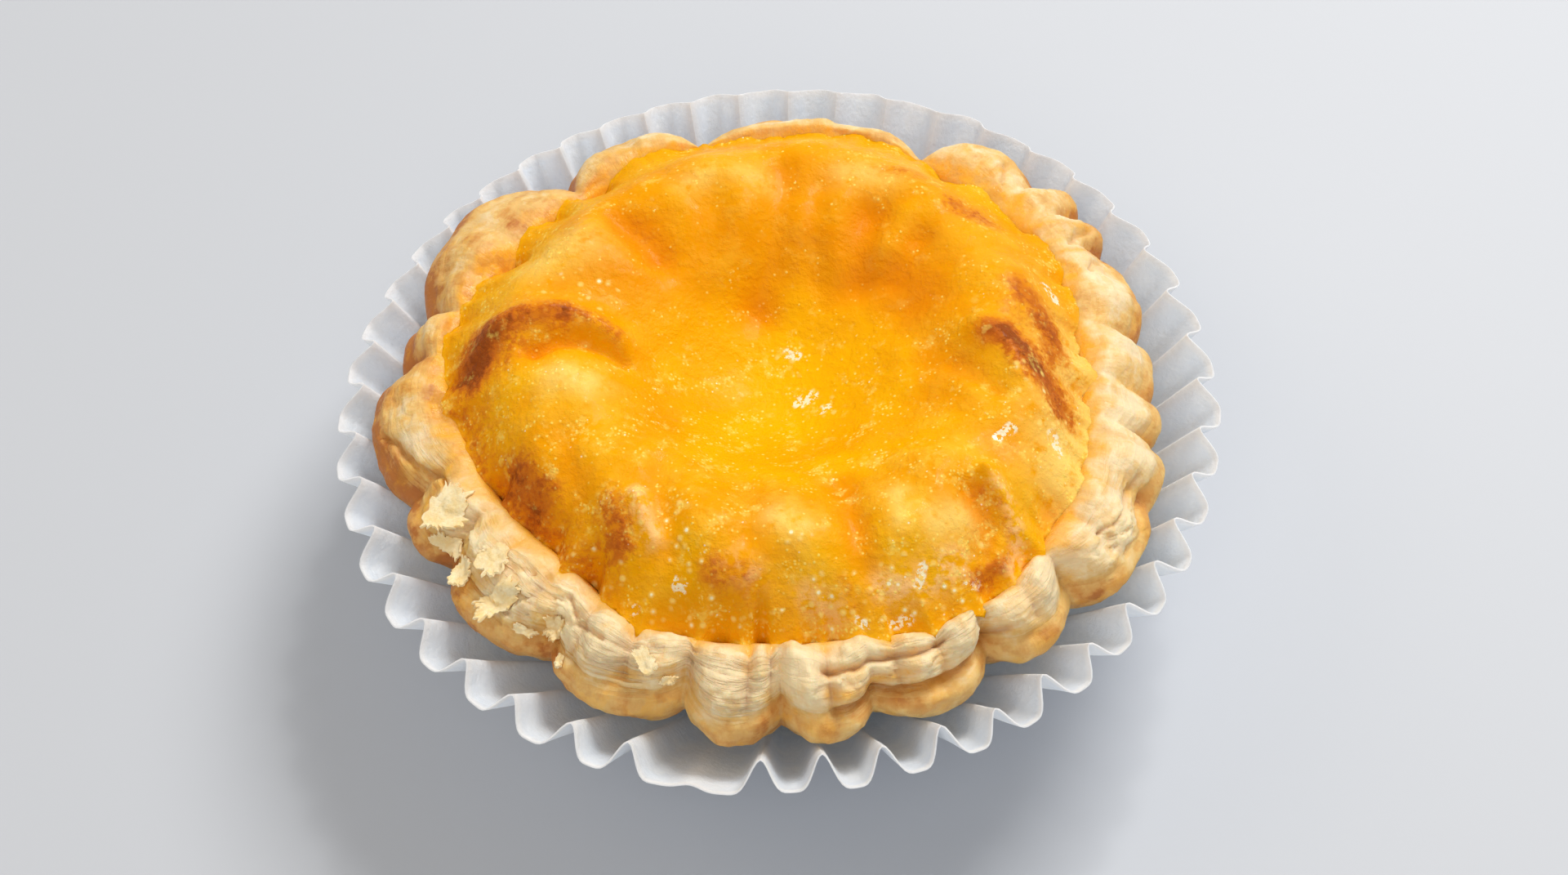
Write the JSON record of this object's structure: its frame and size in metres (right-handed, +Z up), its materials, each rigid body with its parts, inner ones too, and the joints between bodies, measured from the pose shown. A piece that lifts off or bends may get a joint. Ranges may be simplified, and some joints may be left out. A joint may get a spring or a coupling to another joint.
{
  "type": "egg tart",
  "caption": "Baked egg custard tart with a scalloped flaky pastry shell, standing in a pleated paper case.",
  "frame": {"origin": "middle of the underside of the paper case, which stands on the table", "axes": "+Z up; +X to the right and +Y away from the viewer, as in the picture"},
  "size_m": [0.092, 0.0928, 0.0342],
  "materials": {
    "paper_case": "matt, slightly translucent",
    "crust": "flaky, matt",
    "custard": "glossy, browned in spots"
  },
  "bodies": {
    "root": {"paper_case": "paper_case", "crust": "crust", "custard": "custard"}
  },
  "joints": []
}
